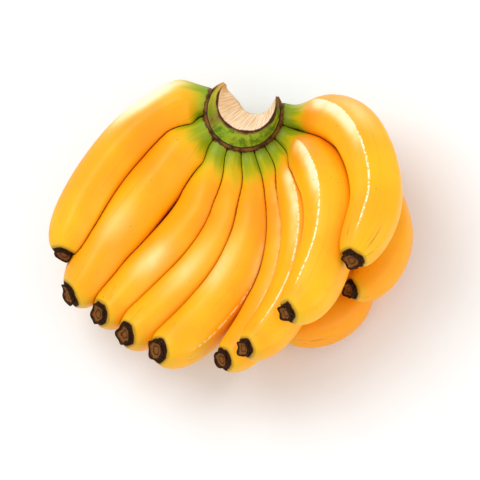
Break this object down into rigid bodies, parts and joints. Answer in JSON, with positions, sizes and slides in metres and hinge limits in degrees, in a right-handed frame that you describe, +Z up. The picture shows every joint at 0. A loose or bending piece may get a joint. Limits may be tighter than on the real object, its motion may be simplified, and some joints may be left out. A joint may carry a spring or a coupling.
{
  "type": "bunch of bananas",
  "caption": "Hand of ripe yellow bananas in two rows, joined at a green crescent crown with a pale cut face, lying on the backs of the fruit.",
  "frame": {"origin": "middle of the bounding box, on the surface that the bunch lies on", "axes": "+Z up. +X is to the right as the picture shows the bunch and is its longest side. -Y is the way most of the fruit point. The shortest side is +Z."},
  "size_m": [0.279, 0.2252, 0.1231],
  "materials": {
    "crown_stem": "green stem skin with a brown lip and a pale fibrous cut face",
    "banana_skin": "smooth ripe peel, green at the neck, soft satin sheen, dry dark tip"
  },
  "bodies": {
    "root": {"crown": "crown_stem", "banana_01": "banana_skin", "banana_02": "banana_skin", "banana_03": "banana_skin", "banana_04": "banana_skin", "banana_05": "banana_skin", "banana_06": "banana_skin", "banana_07": "banana_skin", "banana_08": "banana_skin", "banana_09": "banana_skin", "banana_10": "banana_skin", "banana_11": "banana_skin", "banana_12": "banana_skin", "banana_13": "banana_skin", "banana_14": "banana_skin", "banana_15": "banana_skin"}
  },
  "joints": []
}
